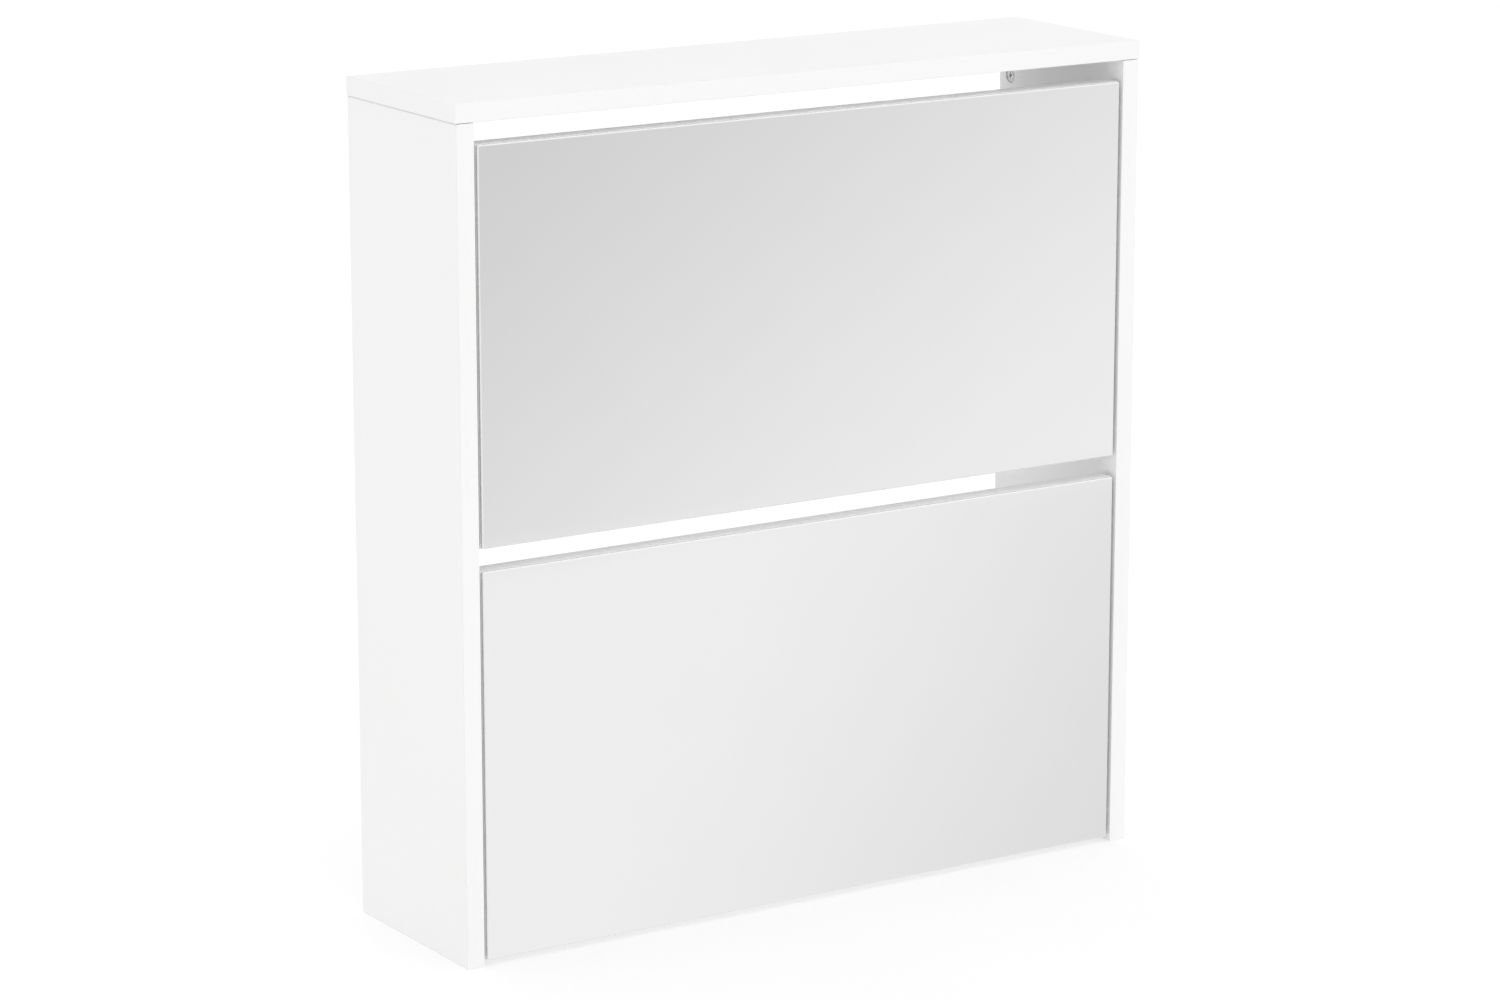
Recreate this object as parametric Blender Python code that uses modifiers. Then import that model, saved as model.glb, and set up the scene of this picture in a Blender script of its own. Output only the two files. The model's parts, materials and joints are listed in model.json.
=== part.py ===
"""Shoe cabinet: an open-backed white board carcass with two mirrored flaps that tilt open.

Metres, +Z up. The front faces -Y, and the origin is on the floor under the middle of the cabinet.

The carcass is two side panels, a top panel and two back rails, held by cam locks and dowels. Each
flap turns on two steel pins in the ends of its door board, and carries a shoe bin: two moulded side
plates, a bottom board and a back board. A stud in each side panel runs in a curved slot of the bin's
side plate, and stops the flap where it is shut and where it is fully open.
"""

import math

import bmesh
import bpy
from mathutils import Vector

MM = 0.001

# Overall sizes
WIDTH = 630 * MM  # over the top panel
DEPTH = 170 * MM
HEIGHT = 670 * MM

# Boards, glass and plastic
BOARD = 15 * MM  # coated chipboard: carcass, rails and doors
MIRROR = 3 * MM  # glass pane glued to each door
BIN_BOARD = 6 * MM  # painted fibreboard of the bins
PLATE = 2.5 * MM  # wall of the moulded bin sides
RIM = 2 * MM  # rims and ribs on those walls
EDGE = 0.6 * MM  # rounding of the edge bands
GLASS_ARRIS = 0.8 * MM  # ground edge of the glass
TOP_OVERHANG = 1 * MM  # top panel past each side panel

# Gaps
SEAT = 0.3 * MM  # between faces that rest on each other, and around what sits in a bore
FLOOR_GAP = 4 * MM  # under the lower door
FINGER_GAP = 17 * MM  # above each door, where fingers pull it open
FLAP_SIDE_GAP = 2.5 * MM  # between a door's end and the side panel
FLAP_RECESS = 0.5 * MM  # mirror's face behind the side panels' front edges
MIRROR_MARGIN = 0.5 * MM  # board left bare around the mirror
BIN_SIDE_GAP = 5 * MM  # between a bin's side plate and the side panel
RAIL_CLEARANCE = 9 * MM  # between a bin and the back rails

# Flap
FLAP_ANGLE = math.radians(45)  # how far a flap tilts open
PIVOT_RISE = 24 * MM  # pins above the door's lower edge
PIN_RADIUS = 3 * MM
PIN_IN_DOOR = 20 * MM
PIN_END_WALL = 6 * MM  # of side panel left beyond a pin's end

# Bin, seen from the side
BIN_DROP = 12 * MM  # below the pins
BIN_REAR_HEIGHT = 120 * MM  # above the pins, at the back
BIN_FRONT_HEIGHT = 205 * MM  # above the pins, at the door
BIN_TOP_WIDTH = 27 * MM
BIN_LEAN = 26 * MM  # the back leans away from the door by this much
BIN_SIDE_DEPTH = 8.5 * MM  # side plate with its rims
FLANGE_WIDTH = 20 * MM
FLANGE = 3 * MM
SCREW_HEIGHTS = (25 * MM, 180 * MM)  # above the pins

# Stop stud and its slot
STUD_RADIUS = 4 * MM
STUD_CLEARANCE = 0.4 * MM
STUD_INSIDE_REAR = 13 * MM  # slot's radius is this much less than the bin's depth at its foot
STUD_ANGLE = math.radians(75)  # stud above the horizontal through the pins
STUD_PAST_BIN = 1.5 * MM

# Back rails
RAIL_HEIGHT = 80 * MM
UPPER_RAIL_DROP = 65 * MM  # rail's top below the top panel
LOWER_RAIL_RISE = 20 * MM  # rail's foot above the floor
WALL_HOLE_SPREAD = 320 * MM
WALL_HOLE_RADIUS = 2.6 * MM

# Fittings
CAM_RADIUS = 6 * MM
CAM_SKIN = 2.5 * MM  # board left behind a cam
CAM_DISTANCE = 31 * MM  # cam's centre from the joint it pulls shut
CAM_INSET = 15 * MM  # top cams from the side panel's front and back edges
CAM_HOLE = 3.8 * MM  # radius of the cam's mouth for the bolt
CAM_CROSS = (5.5 * MM, 1.2 * MM, 1.8 * MM)  # length, width and depth of the screwdriver cross
BOLT_RADIUS = 2.5 * MM
BOLT_CHANNEL = 4 * MM
BOLT_TIP_WALL = 4 * MM  # of panel left beyond a bolt's thread
DOWEL_RADIUS = 4 * MM
DOWEL_IN_EDGE = 20 * MM
DOWEL_TIP_WALL = 5.5 * MM
RAIL_JOINT_SPREAD = 40 * MM  # between a rail end's bolt and its dowel
SCREW_RADIUS = 1.6 * MM
SCREW_HOLE = 2 * MM
SCREW_HEAD = 3.5 * MM
SCREW_TIP_WALL = 2.6 * MM

BORE_SIDES = 16
ROUND_SIDES = 24
SHARP_ANGLE = math.radians(35)  # edges sharper than this stay crisp on round pieces
OVERCUT = 1 * MM  # cutters reach this far out of the face that they enter

# Places worked out from the sizes above
SIDE_OUTER = WIDTH / 2 - TOP_OVERHANG
SIDE_INNER = SIDE_OUTER - BOARD
TOP_UNDERSIDE = HEIGHT - BOARD
FRONT = -DEPTH / 2
BACK = DEPTH / 2
DOOR_HALF = SIDE_INNER - FLAP_SIDE_GAP
DOOR_HEIGHT = (TOP_UNDERSIDE - FLOOR_GAP - 2 * FINGER_GAP) / 2
PIVOT_Y = FRONT + FLAP_RECESS + MIRROR + SEAT + BOARD / 2
DOOR_BACK = BOARD / 2  # from here on, y and z of a flap's pieces are measured from its pins
BIN_OUTER = SIDE_INNER - BIN_SIDE_GAP
BIN_INNER = BIN_OUTER - BIN_SIDE_DEPTH
BIN_FRONT = DOOR_BACK + SEAT
BIN_REAR = BACK - BOARD - RAIL_CLEARANCE - PIVOT_Y
BIN_REAR_FOOT = BIN_REAR - BIN_LEAN
STUD_ORBIT = BIN_REAR_FOOT - STUD_INSIDE_REAR
LEAN_ANGLE = math.atan2(BIN_LEAN, BIN_REAR_HEIGHT + BIN_DROP)

SIDES = {"left": -1, "right": 1}
FLAPS = {"lower": FLOOR_GAP, "upper": FLOOR_GAP + DOOR_HEIGHT + FINGER_GAP}  # door's lower edge


# ---------------------------------------------------------------- scene and materials


def clear_scene():
    for obj in list(bpy.data.objects):
        bpy.data.objects.remove(obj, do_unlink=True)


def new_collection(name):
    collection = bpy.data.collections.new(name)
    bpy.context.scene.collection.children.link(collection)
    return collection


def new_material(name, colour, roughness, metallic=0.0):
    material = bpy.data.materials.new(name)
    material.use_nodes = True
    shader = material.node_tree.nodes["Principled BSDF"]
    shader.inputs["Base Color"].default_value = (*colour, 1.0)
    shader.inputs["Roughness"].default_value = roughness
    shader.inputs["Metallic"].default_value = metallic
    return material


clear_scene()
PARTS = new_collection("shoe_cabinet")
CUTTERS = new_collection("cutters")
WHITE_BOARD = new_material("white_board", (0.92, 0.92, 0.92), 0.45)
WHITE_PAINT = new_material("white_paint", (0.88, 0.88, 0.88), 0.6)
WHITE_PLASTIC = new_material("white_plastic", (0.86, 0.86, 0.86), 0.4)
MIRROR_GLASS = new_material("mirror_glass", (0.90, 0.91, 0.91), 0.02, 1.0)
ZINC = new_material("zinc", (0.62, 0.62, 0.61), 0.4, 1.0)
STEEL = new_material("steel", (0.70, 0.70, 0.70), 0.3, 1.0)
BEECH = new_material("beech", (0.72, 0.54, 0.34), 0.7)


# ---------------------------------------------------------------- shapes


def finish(obj, name, material, parent):
    """Names a new object, and puts it with the parts, or with the cutters if it has no material."""
    obj.name = name
    obj.parent = parent
    for collection in list(obj.users_collection):
        collection.objects.unlink(obj)
    if material:
        PARTS.objects.link(obj)
        obj.data.materials.clear()
        obj.data.materials.append(material)
    else:
        CUTTERS.objects.link(obj)
        obj.hide_render = True
        obj.display_type = "WIRE"
    return obj


def box(name, corner, opposite, material=None, parent=None, edge=0.0, segments=2):
    """A box between two opposite corners, its edges rounded by edge."""
    corner, opposite = Vector(corner), Vector(opposite)
    bpy.ops.mesh.primitive_cube_add(size=1, location=(corner + opposite) / 2)
    obj = bpy.context.object
    obj.scale = [abs(side) for side in opposite - corner]
    bpy.ops.object.transform_apply(location=False, rotation=False, scale=True)
    if edge > 0:
        bevel = obj.modifiers.new("rounded_edges", "BEVEL")
        bevel.width = edge
        bevel.segments = segments
        bevel.limit_method = "ANGLE"
    return finish(obj, name, material, parent)


def cylinder(name, start, end, radius, parent=None, sides=BORE_SIDES, end_radius=None):
    """A cylinder cutter from start to end, or a cone where end_radius differs."""
    start, end = Vector(start), Vector(end)
    axis = end - start
    bpy.ops.mesh.primitive_cone_add(
        vertices=sides,
        radius1=radius,
        radius2=radius if end_radius is None else end_radius,
        depth=axis.length,
        location=(start + end) / 2,
        rotation=axis.to_track_quat("Z", "Y").to_euler(),
    )
    return finish(bpy.context.object, name, None, parent)


def turned(name, profile, origin, axis, material, parent=None, sides=ROUND_SIDES):
    """A turned piece. profile is (radius, height) down its outer side, height along axis from origin."""
    mesh = bpy.data.meshes.new(name)
    points = [(radius, 0, height) for radius, height in profile]
    mesh.from_pydata(points, [(i, i + 1) for i in range(len(points) - 1)], [])
    drawn = bpy.data.objects.new(name, mesh)
    bpy.context.scene.collection.objects.link(drawn)
    drawn.location = origin
    drawn.rotation_euler = Vector(axis).to_track_quat("Z", "Y").to_euler()
    screw = drawn.modifiers.new("turn", "SCREW")
    screw.steps = sides
    screw.render_steps = sides
    screw.use_merge_vertices = True
    screw.merge_threshold = 0.01 * MM
    return finish(solid_mesh(drawn), name, material, parent)


def boolean(target, other, operation):
    modifier = target.modifiers.new(other.name, "BOOLEAN")
    modifier.object = other
    modifier.operation = operation
    modifier.solver = "EXACT"


def cut(target, *cutters):
    for cutter in cutters:
        boolean(target, cutter, "DIFFERENCE")


def join(target, *others):
    for other in others:
        boolean(target, other, "UNION")


def bore(target, mouth, inward, depth, radius, sides=BORE_SIDES):
    """Cuts a round hole of that depth into target, from mouth along the unit vector inward."""
    mouth, inward = Vector(mouth), Vector(inward)
    name = f"{target.name}_bore_{len(target.modifiers)}"
    start = mouth - inward * OVERCUT
    cut(target, cylinder(name, start, mouth + inward * depth, radius, target.parent, sides))


def rounded_outline(corners, arc_steps=6):
    """Points of a closed outline, from a list of ((y, z), radius) corners."""
    points = []
    for corner, before, after, half, radius in corner_angles(corners):
        centre = corner + (before + after).normalized() * radius / math.sin(half)
        start = corner + before * radius / math.tan(half) - centre
        end = corner + after * radius / math.tan(half) - centre
        sweep = math.atan2(start.x * end.y - start.y * end.x, start.dot(end))
        first = math.atan2(start.y, start.x)
        points += arc(centre, radius, first, first + sweep, arc_steps)
    return points


def inset_corners(corners, inset):
    """The corners of the same outline, moved inward by inset."""
    smallest = 0.5 * MM
    return [
        (corner + (before + after).normalized() * inset / math.sin(half), max(radius - inset, smallest))
        for corner, before, after, half, radius in corner_angles(corners)
    ]


def corner_angles(corners):
    """For each corner: its place, the directions to both neighbours, half its angle, and its radius."""
    for i, (corner, radius) in enumerate(corners):
        corner = Vector(corner)
        before = (Vector(corners[i - 1][0]) - corner).normalized()
        after = (Vector(corners[(i + 1) % len(corners)][0]) - corner).normalized()
        yield corner, before, after, before.angle(after) / 2, radius


def arc(centre, radius, start, end, steps):
    angles = [start + (end - start) * i / steps for i in range(steps + 1)]
    return [Vector((centre[0] + radius * math.cos(a), centre[1] + radius * math.sin(a))) for a in angles]


def flat_plate(name, outline, x_from, x_to, material=None, parent=None):
    """An outline of (y, z) points, made solid from x_from to x_to."""
    curve = bpy.data.curves.new(name, "CURVE")
    curve.dimensions = "2D"
    curve.fill_mode = "BOTH"
    curve.extrude = abs(x_to - x_from) / 2
    spline = curve.splines.new("POLY")
    spline.points.add(len(outline) - 1)
    for point, (y, z) in zip(spline.points, outline):
        point.co = (y, z, 0, 1)
    spline.use_cyclic_u = True
    drawn = bpy.data.objects.new(name, curve)
    bpy.context.scene.collection.objects.link(drawn)
    drawn.location.x = (x_from + x_to) / 2
    drawn.rotation_euler = (math.pi / 2, 0, math.pi / 2)  # the curve's x and y become y and z
    return finish(solid_mesh(drawn), name, material, parent)


def solid_mesh(drawn):
    """Turns a curve or a swept profile into a mesh object, closed, facing out and shaded smooth."""
    bpy.context.view_layer.update()
    graph = bpy.context.evaluated_depsgraph_get()
    mesh = bpy.data.meshes.new_from_object(drawn.evaluated_get(graph))
    shell = bmesh.new()
    shell.from_mesh(mesh)
    bmesh.ops.remove_doubles(shell, verts=shell.verts, dist=0.001 * MM)
    bmesh.ops.recalc_face_normals(shell, faces=shell.faces)
    shell.to_mesh(mesh)
    shell.free()
    mesh.shade_smooth()
    mesh.set_sharp_from_angle(angle=SHARP_ANGLE)
    solid = bpy.data.objects.new(drawn.name, mesh)
    bpy.context.scene.collection.objects.link(solid)
    solid.matrix_world = drawn.matrix_world.copy()
    bpy.data.objects.remove(drawn, do_unlink=True)
    return solid


# ---------------------------------------------------------------- fittings


def cam_lock(name, face, out, joint):
    """A cam lock whose slotted face looks along out. joint is the direction to its bolt."""
    depth = BOARD - CAM_SKIN - SEAT
    sunk = 0.2 * MM
    chamfer = 0.4 * MM
    profile = [
        (0, -sunk),
        (CAM_RADIUS - chamfer, -sunk),
        (CAM_RADIUS, -sunk - chamfer),
        (CAM_RADIUS, -depth),
        (0, -depth),
    ]
    cam = turned(name, profile, face, out, ZINC)
    face, out, joint = Vector(face), Vector(out), Vector(joint)
    centre = face - out * BOARD / 2
    past_centre = 3 * MM
    mouth = cylinder(
        f"{name}_mouth", centre + joint * (CAM_RADIUS + OVERCUT), centre - joint * past_centre, CAM_HOLE
    )
    cut(cam, mouth)
    across = out.cross(joint)
    length, width, recess = CAM_CROSS
    for bar, (along, side) in enumerate(((joint, across), (across, joint))):
        reach = along * length / 2 + side * width / 2
        cut(cam, box(f"{name}_cross_{bar}", face - reach + out * OVERCUT, face + reach - out * recess))


def cam_bolt(name, joint, out):
    """The steel bolt of a cam lock. Its thread goes along out from the joint, its head into the cam."""
    thread = BOARD - BOLT_TIP_WALL
    collar = 3.6 * MM
    head = 3.2 * MM
    neck = 1.9 * MM
    head_end = CAM_DISTANCE + 2 * MM
    profile = [
        (0, thread),
        (BOLT_RADIUS - 0.6 * MM, thread),
        (BOLT_RADIUS, thread - 1 * MM),
        (BOLT_RADIUS, -0.5 * MM),
        (collar, -0.5 * MM),
        (collar, -2.5 * MM),
        (BOLT_RADIUS, -2.5 * MM),
        (BOLT_RADIUS, -head_end + 7 * MM),
        (neck, -head_end + 6 * MM),
        (neck, -head_end + 3.5 * MM),
        (head, -head_end + 2.5 * MM),
        (head, -head_end + 1 * MM),
        (neck, -head_end),
        (0, -head_end),
    ]
    turned(name, profile, joint, out, STEEL, sides=12)


def dowel(name, joint, out):
    """A beech dowel across a joint, its short end along out."""
    top = BOARD - DOWEL_TIP_WALL
    foot = -DOWEL_IN_EDGE
    chamfer = 1 * MM
    profile = [
        (0, top),
        (DOWEL_RADIUS - chamfer, top),
        (DOWEL_RADIUS, top - chamfer),
        (DOWEL_RADIUS, foot + chamfer),
        (DOWEL_RADIUS - chamfer, foot),
        (0, foot),
    ]
    turned(name, profile, joint, out, BEECH, sides=12)


def bore_cam_joint(panel, edge_board, joint, out, cam_face, cam_out):
    """The holes of one cam joint: the thread's in panel, and the bolt's and cam's in edge_board."""
    joint, out, cam_out = Vector(joint), Vector(out), Vector(cam_out)
    bore(panel, joint, out, BOARD - BOLT_TIP_WALL + SEAT, BOLT_RADIUS + SEAT, sides=12)
    bore(edge_board, joint, -out, CAM_DISTANCE, BOLT_CHANNEL, sides=12)
    bore(edge_board, cam_face, -cam_out, BOARD - CAM_SKIN, CAM_RADIUS + SEAT, sides=ROUND_SIDES)


def bore_dowel_joint(panel, edge_board, joint, out):
    joint, out = Vector(joint), Vector(out)
    bore(panel, joint, out, BOARD - DOWEL_TIP_WALL + SEAT, DOWEL_RADIUS + SEAT, sides=12)
    bore(edge_board, joint, -out, DOWEL_IN_EDGE + SEAT, DOWEL_RADIUS + SEAT, sides=12)


# ---------------------------------------------------------------- carcass


def build_panels():
    """The top panel and both side panels."""
    low, high = (-WIDTH / 2, FRONT, TOP_UNDERSIDE), (WIDTH / 2, BACK, HEIGHT)
    top = box("top_panel", low, high, WHITE_BOARD, edge=EDGE)
    panels = {}
    for name, side in SIDES.items():
        panels[name] = box(
            f"side_panel_{name}",
            (side * SIDE_INNER, FRONT, 0),
            (side * SIDE_OUTER, BACK, TOP_UNDERSIDE - SEAT),
            WHITE_BOARD,
            edge=EDGE,
        )
    return top, panels


def join_top(top, panels):
    """Two cam locks and a dowel hold each side panel to the top panel."""
    up = (0, 0, 1)
    for name, side in SIDES.items():
        middle = side * (SIDE_OUTER - BOARD / 2)
        for place, y in (("front", FRONT + CAM_INSET), ("back", BACK - CAM_INSET)):
            joint = (middle, y, TOP_UNDERSIDE)
            face = (side * SIDE_INNER, y, TOP_UNDERSIDE - CAM_DISTANCE)
            inward = (-side, 0, 0)
            bore_cam_joint(top, panels[name], joint, up, face, inward)
            cam_lock(f"top_cam_{name}_{place}", face, inward, up)
            cam_bolt(f"top_bolt_{name}_{place}", joint, up)
        bore_dowel_joint(top, panels[name], (middle, 0, TOP_UNDERSIDE), up)
        dowel(f"top_dowel_{name}", (middle, 0, TOP_UNDERSIDE), up)


def build_rails(panels):
    """Two rails across the back, each end held by a cam lock and a dowel."""
    feet = {"upper": TOP_UNDERSIDE - UPPER_RAIL_DROP - RAIL_HEIGHT, "lower": LOWER_RAIL_RISE}
    for level, foot in feet.items():
        end = SIDE_INNER - SEAT
        low, high = (-end, BACK - BOARD, foot), (end, BACK, foot + RAIL_HEIGHT)
        rail = box(f"{level}_rail", low, high, WHITE_BOARD, edge=EDGE)
        middle = foot + RAIL_HEIGHT / 2
        for name, side in SIDES.items():
            out = (side, 0, 0)
            y = BACK - BOARD / 2
            bolt_z = middle + RAIL_JOINT_SPREAD / 2
            dowel_z = middle - RAIL_JOINT_SPREAD / 2
            joint = (side * SIDE_INNER, y, bolt_z)
            face = (side * (SIDE_INNER - CAM_DISTANCE), BACK, bolt_z)
            bore_cam_joint(panels[name], rail, joint, out, face, (0, 1, 0))
            cam_lock(f"{level}_rail_cam_{name}", face, (0, 1, 0), out)
            cam_bolt(f"{level}_rail_bolt_{name}", joint, out)
            bore_dowel_joint(panels[name], rail, (side * SIDE_INNER, y, dowel_z), out)
            dowel(f"{level}_rail_dowel_{name}", (side * SIDE_INNER, y, dowel_z), out)
        if level == "upper":
            bore_wall_holes(rail, middle)


def bore_wall_holes(rail, z):
    """Two countersunk holes for the screws that hold the cabinet to the wall."""
    room_face = BACK - BOARD
    sink = 3 * MM
    for number, x in enumerate((-WALL_HOLE_SPREAD / 2, WALL_HOLE_SPREAD / 2)):
        bore(rail, (x, room_face, z), (0, 1, 0), BOARD + OVERCUT, WALL_HOLE_RADIUS)
        start = (x, room_face - OVERCUT, z)
        end = (x, room_face + sink, z)
        head = WALL_HOLE_RADIUS + sink + OVERCUT
        cut(rail, cylinder(f"countersink_{number}", start, end, head, end_radius=WALL_HOLE_RADIUS))


def fit_pivots(panels):
    """A nylon bush for each pin and a stop stud for each slot, in both side panels."""
    for level, door_foot in FLAPS.items():
        pivot_z = door_foot + PIVOT_RISE
        stud_y = PIVOT_Y + STUD_ORBIT * math.cos(STUD_ANGLE)
        stud_z = pivot_z + STUD_ORBIT * math.sin(STUD_ANGLE)
        for name, side in SIDES.items():
            panel = panels[name]
            pivot_bush(panel, f"{level}_pivot_bush_{name}", (side * SIDE_INNER, PIVOT_Y, pivot_z), side)
            stop_stud(panel, f"{level}_stop_stud_{name}", (side * SIDE_INNER, stud_y, stud_z), side)


def pivot_bush(panel, name, face, side):
    """A flanged blind bush, open towards the flap."""
    body = 5 * MM
    flange = 7 * MM
    top = SEAT + 1 * MM
    floor = 1.4 * MM
    well = PIN_RADIUS + SEAT
    foot = -(BOARD - PIN_END_WALL + SEAT + floor)
    profile = [
        (0, foot + floor),
        (well, foot + floor),
        (well, top),
        (flange, top),
        (flange, SEAT),
        (body, SEAT),
        (body, foot),
        (0, foot),
    ]
    turned(name, profile, face, (-side, 0, 0), WHITE_PLASTIC)
    bore(panel, face, (side, 0, 0), SEAT - foot, body + SEAT, sides=ROUND_SIDES)


def stop_stud(panel, name, face, side):
    """A nylon stud that stands out of the side panel through the bin's slot."""
    shank = 3.7 * MM
    collar = 6.5 * MM
    collar_top = SEAT + 1.5 * MM
    tip = BIN_SIDE_GAP + BIN_SIDE_DEPTH + STUD_PAST_BIN
    chamfer = 1.2 * MM
    foot = -(BOARD - BOLT_TIP_WALL)
    profile = [
        (0, tip),
        (STUD_RADIUS - chamfer, tip),
        (STUD_RADIUS, tip - chamfer),
        (STUD_RADIUS, collar_top),
        (collar, collar_top),
        (collar, SEAT),
        (shank, SEAT),
        (shank, foot),
        (0, foot),
    ]
    turned(name, profile, face, (-side, 0, 0), WHITE_PLASTIC, sides=BORE_SIDES)
    bore(panel, face, (side, 0, 0), SEAT - foot, shank + SEAT)


# ---------------------------------------------------------------- flaps


def build_flap(level, door_foot):
    """One flap, its pieces placed from an empty on the axis of its pins."""
    axis = bpy.data.objects.new(f"{level}_flap_axis", None)
    PARTS.objects.link(axis)
    axis.location = (0, PIVOT_Y, door_foot + PIVOT_RISE)
    foot = -PIVOT_RISE
    head = DOOR_HEIGHT - PIVOT_RISE
    door = box(
        f"{level}_door_board",
        (-DOOR_HALF, -BOARD / 2, foot),
        (DOOR_HALF, DOOR_BACK, head),
        WHITE_BOARD,
        axis,
        EDGE,
    )
    glass_back = -BOARD / 2 - SEAT
    box(
        f"{level}_mirror",
        (-DOOR_HALF + MIRROR_MARGIN, glass_back - MIRROR, foot + MIRROR_MARGIN),
        (DOOR_HALF - MIRROR_MARGIN, glass_back, head - MIRROR_MARGIN),
        MIRROR_GLASS,
        axis,
        GLASS_ARRIS,
        segments=1,
    )
    for name, side in SIDES.items():
        pivot_pin(door, f"{level}_pivot_pin_{name}", side, axis)
        bin_side(f"{level}_bin_side_{name}", side, axis)
        for number, height in enumerate(SCREW_HEIGHTS, start=1):
            bin_screw(door, f"{level}_bin_screw_{name}_{number}", side, height, axis)
    bin_bottom(f"{level}_bin_bottom", axis)
    bin_back(f"{level}_bin_back", axis)


def pivot_pin(door, name, side, axis):
    """A steel pin in the door's end, standing out into the side panel's bush."""
    reach = FLAP_SIDE_GAP + BOARD - PIN_END_WALL
    chamfer = 0.6 * MM
    profile = [
        (0, reach),
        (PIN_RADIUS - chamfer, reach),
        (PIN_RADIUS, reach - chamfer),
        (PIN_RADIUS, -PIN_IN_DOOR + chamfer),
        (PIN_RADIUS - chamfer, -PIN_IN_DOOR),
        (0, -PIN_IN_DOOR),
    ]
    end = (side * DOOR_HALF, 0, 0)
    turned(name, profile, end, (side, 0, 0), STEEL, axis)
    bore(door, end, (-side, 0, 0), PIN_IN_DOOR + SEAT, PIN_RADIUS + SEAT, sides=ROUND_SIDES)


def bin_corners():
    """Corners of a bin's side plate and their radii, from the foot at the door round by the back."""
    front = BIN_FRONT + SEAT
    return [
        ((front, -BIN_DROP), 3 * MM),
        ((BIN_REAR_FOOT, -BIN_DROP), 4 * MM),
        ((BIN_REAR, BIN_REAR_HEIGHT), 40 * MM),
        ((front + BIN_TOP_WIDTH, BIN_FRONT_HEIGHT), 40 * MM),
        ((front, BIN_FRONT_HEIGHT), 3 * MM),
    ]


def slot_outline():
    """The stud's path in the side plate: an arc about the pins with round ends."""
    half_width = STUD_RADIUS + STUD_CLEARANCE
    shut, opened = STUD_ANGLE, STUD_ANGLE - FLAP_ANGLE
    shut_end = (STUD_ORBIT * math.cos(shut), STUD_ORBIT * math.sin(shut))
    open_end = (STUD_ORBIT * math.cos(opened), STUD_ORBIT * math.sin(opened))
    outer = arc((0, 0), STUD_ORBIT + half_width, opened, shut, 12)
    inner = arc((0, 0), STUD_ORBIT - half_width, shut, opened, 12)
    shut_cap = arc(shut_end, half_width, shut, shut + math.pi, 8)[1:-1]
    open_cap = arc(open_end, half_width, opened + math.pi, opened + 2 * math.pi, 8)[1:-1]
    return outer + shut_cap + inner + open_cap


def bin_side(name, side, axis):
    """A moulded side plate: a rimmed wall with board channels, a slot and a flange for the door."""
    corners = bin_corners()
    wall_inside = side * (BIN_OUTER - PLATE)
    plate = flat_plate(
        name, rounded_outline(corners), side * BIN_OUTER, side * BIN_INNER, WHITE_PLASTIC, axis
    )
    pocket = rounded_outline(inset_corners(corners, RIM))
    past_rim = side * (BIN_INNER - OVERCUT)
    past_wall = side * (BIN_OUTER + OVERCUT)
    cut(plate, flat_plate(f"{name}_pocket", pocket, wall_inside, past_rim, parent=axis))
    cut(plate, flat_plate(f"{name}_slot", slot_outline(), past_wall, past_rim, parent=axis))
    in_wall = side * (BIN_OUTER - PLATE / 2)
    join(
        plate,
        bottom_rib(f"{name}_bottom_rib", in_wall, side * BIN_INNER, axis),
        back_rib(f"{name}_back_rib", in_wall, side * BIN_INNER, axis),
        flange(f"{name}_flange", side, axis),
    )
    for height in SCREW_HEIGHTS:
        mouth = (side * screw_x(), BIN_FRONT + FLANGE, height)
        bore(plate, mouth, (0, -1, 0), FLANGE + OVERCUT, SCREW_HOLE, sides=12)


def screw_x():
    """Distance of the flange's screws from the middle of the cabinet."""
    return BIN_INNER - SCREW_HEAD - SEAT


def flange(name, side, axis):
    above_bottom = -BIN_DROP + 2 * RIM + BIN_BOARD + 3 * SEAT
    return box(
        name,
        (side * (BIN_OUTER - PLATE / 2), BIN_FRONT, above_bottom),
        (side * (BIN_OUTER - FLANGE_WIDTH), BIN_FRONT + FLANGE, BIN_FRONT_HEIGHT - 2 * MM),
        parent=axis,
    )


def bottom_rib(name, x_from, x_to, axis):
    """Holds the bottom board down on the side plate's lower rim."""
    foot = -BIN_DROP + RIM + BIN_BOARD + 2 * SEAT
    inset = 14 * MM  # clear of the front rim and of the back board
    front = BIN_FRONT + inset
    rear = BIN_REAR_FOOT - inset - BIN_BOARD
    return box(name, (x_from, front, foot), (x_to, rear, foot + RIM), parent=axis)


def back_rib(name, x_from, x_to, axis):
    """Holds the back board against the side plate's rear rim. It leans with the rim."""
    front = BIN_BOARD + RIM + 2 * SEAT
    rib = box(name, (x_from, -front - RIM, 18 * MM), (x_to, -front, back_board_top()), parent=axis)
    return lean(rib)


def lean(obj):
    """Turns and moves a piece drawn upright at the origin to the bin's leaning back edge."""
    y, z = obj.location.y, obj.location.z
    cosine, sine = math.cos(LEAN_ANGLE), math.sin(LEAN_ANGLE)
    obj.rotation_euler.x = -LEAN_ANGLE
    obj.location.y = BIN_REAR_FOOT + y * cosine + z * sine
    obj.location.z = -BIN_DROP - y * sine + z * cosine
    return obj


def back_board_top():
    """How far up the leaning edge the back board reaches, below the edge's upper arc."""
    below_corner = 26 * MM
    return math.hypot(BIN_LEAN, BIN_REAR_HEIGHT + BIN_DROP) - below_corner


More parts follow.
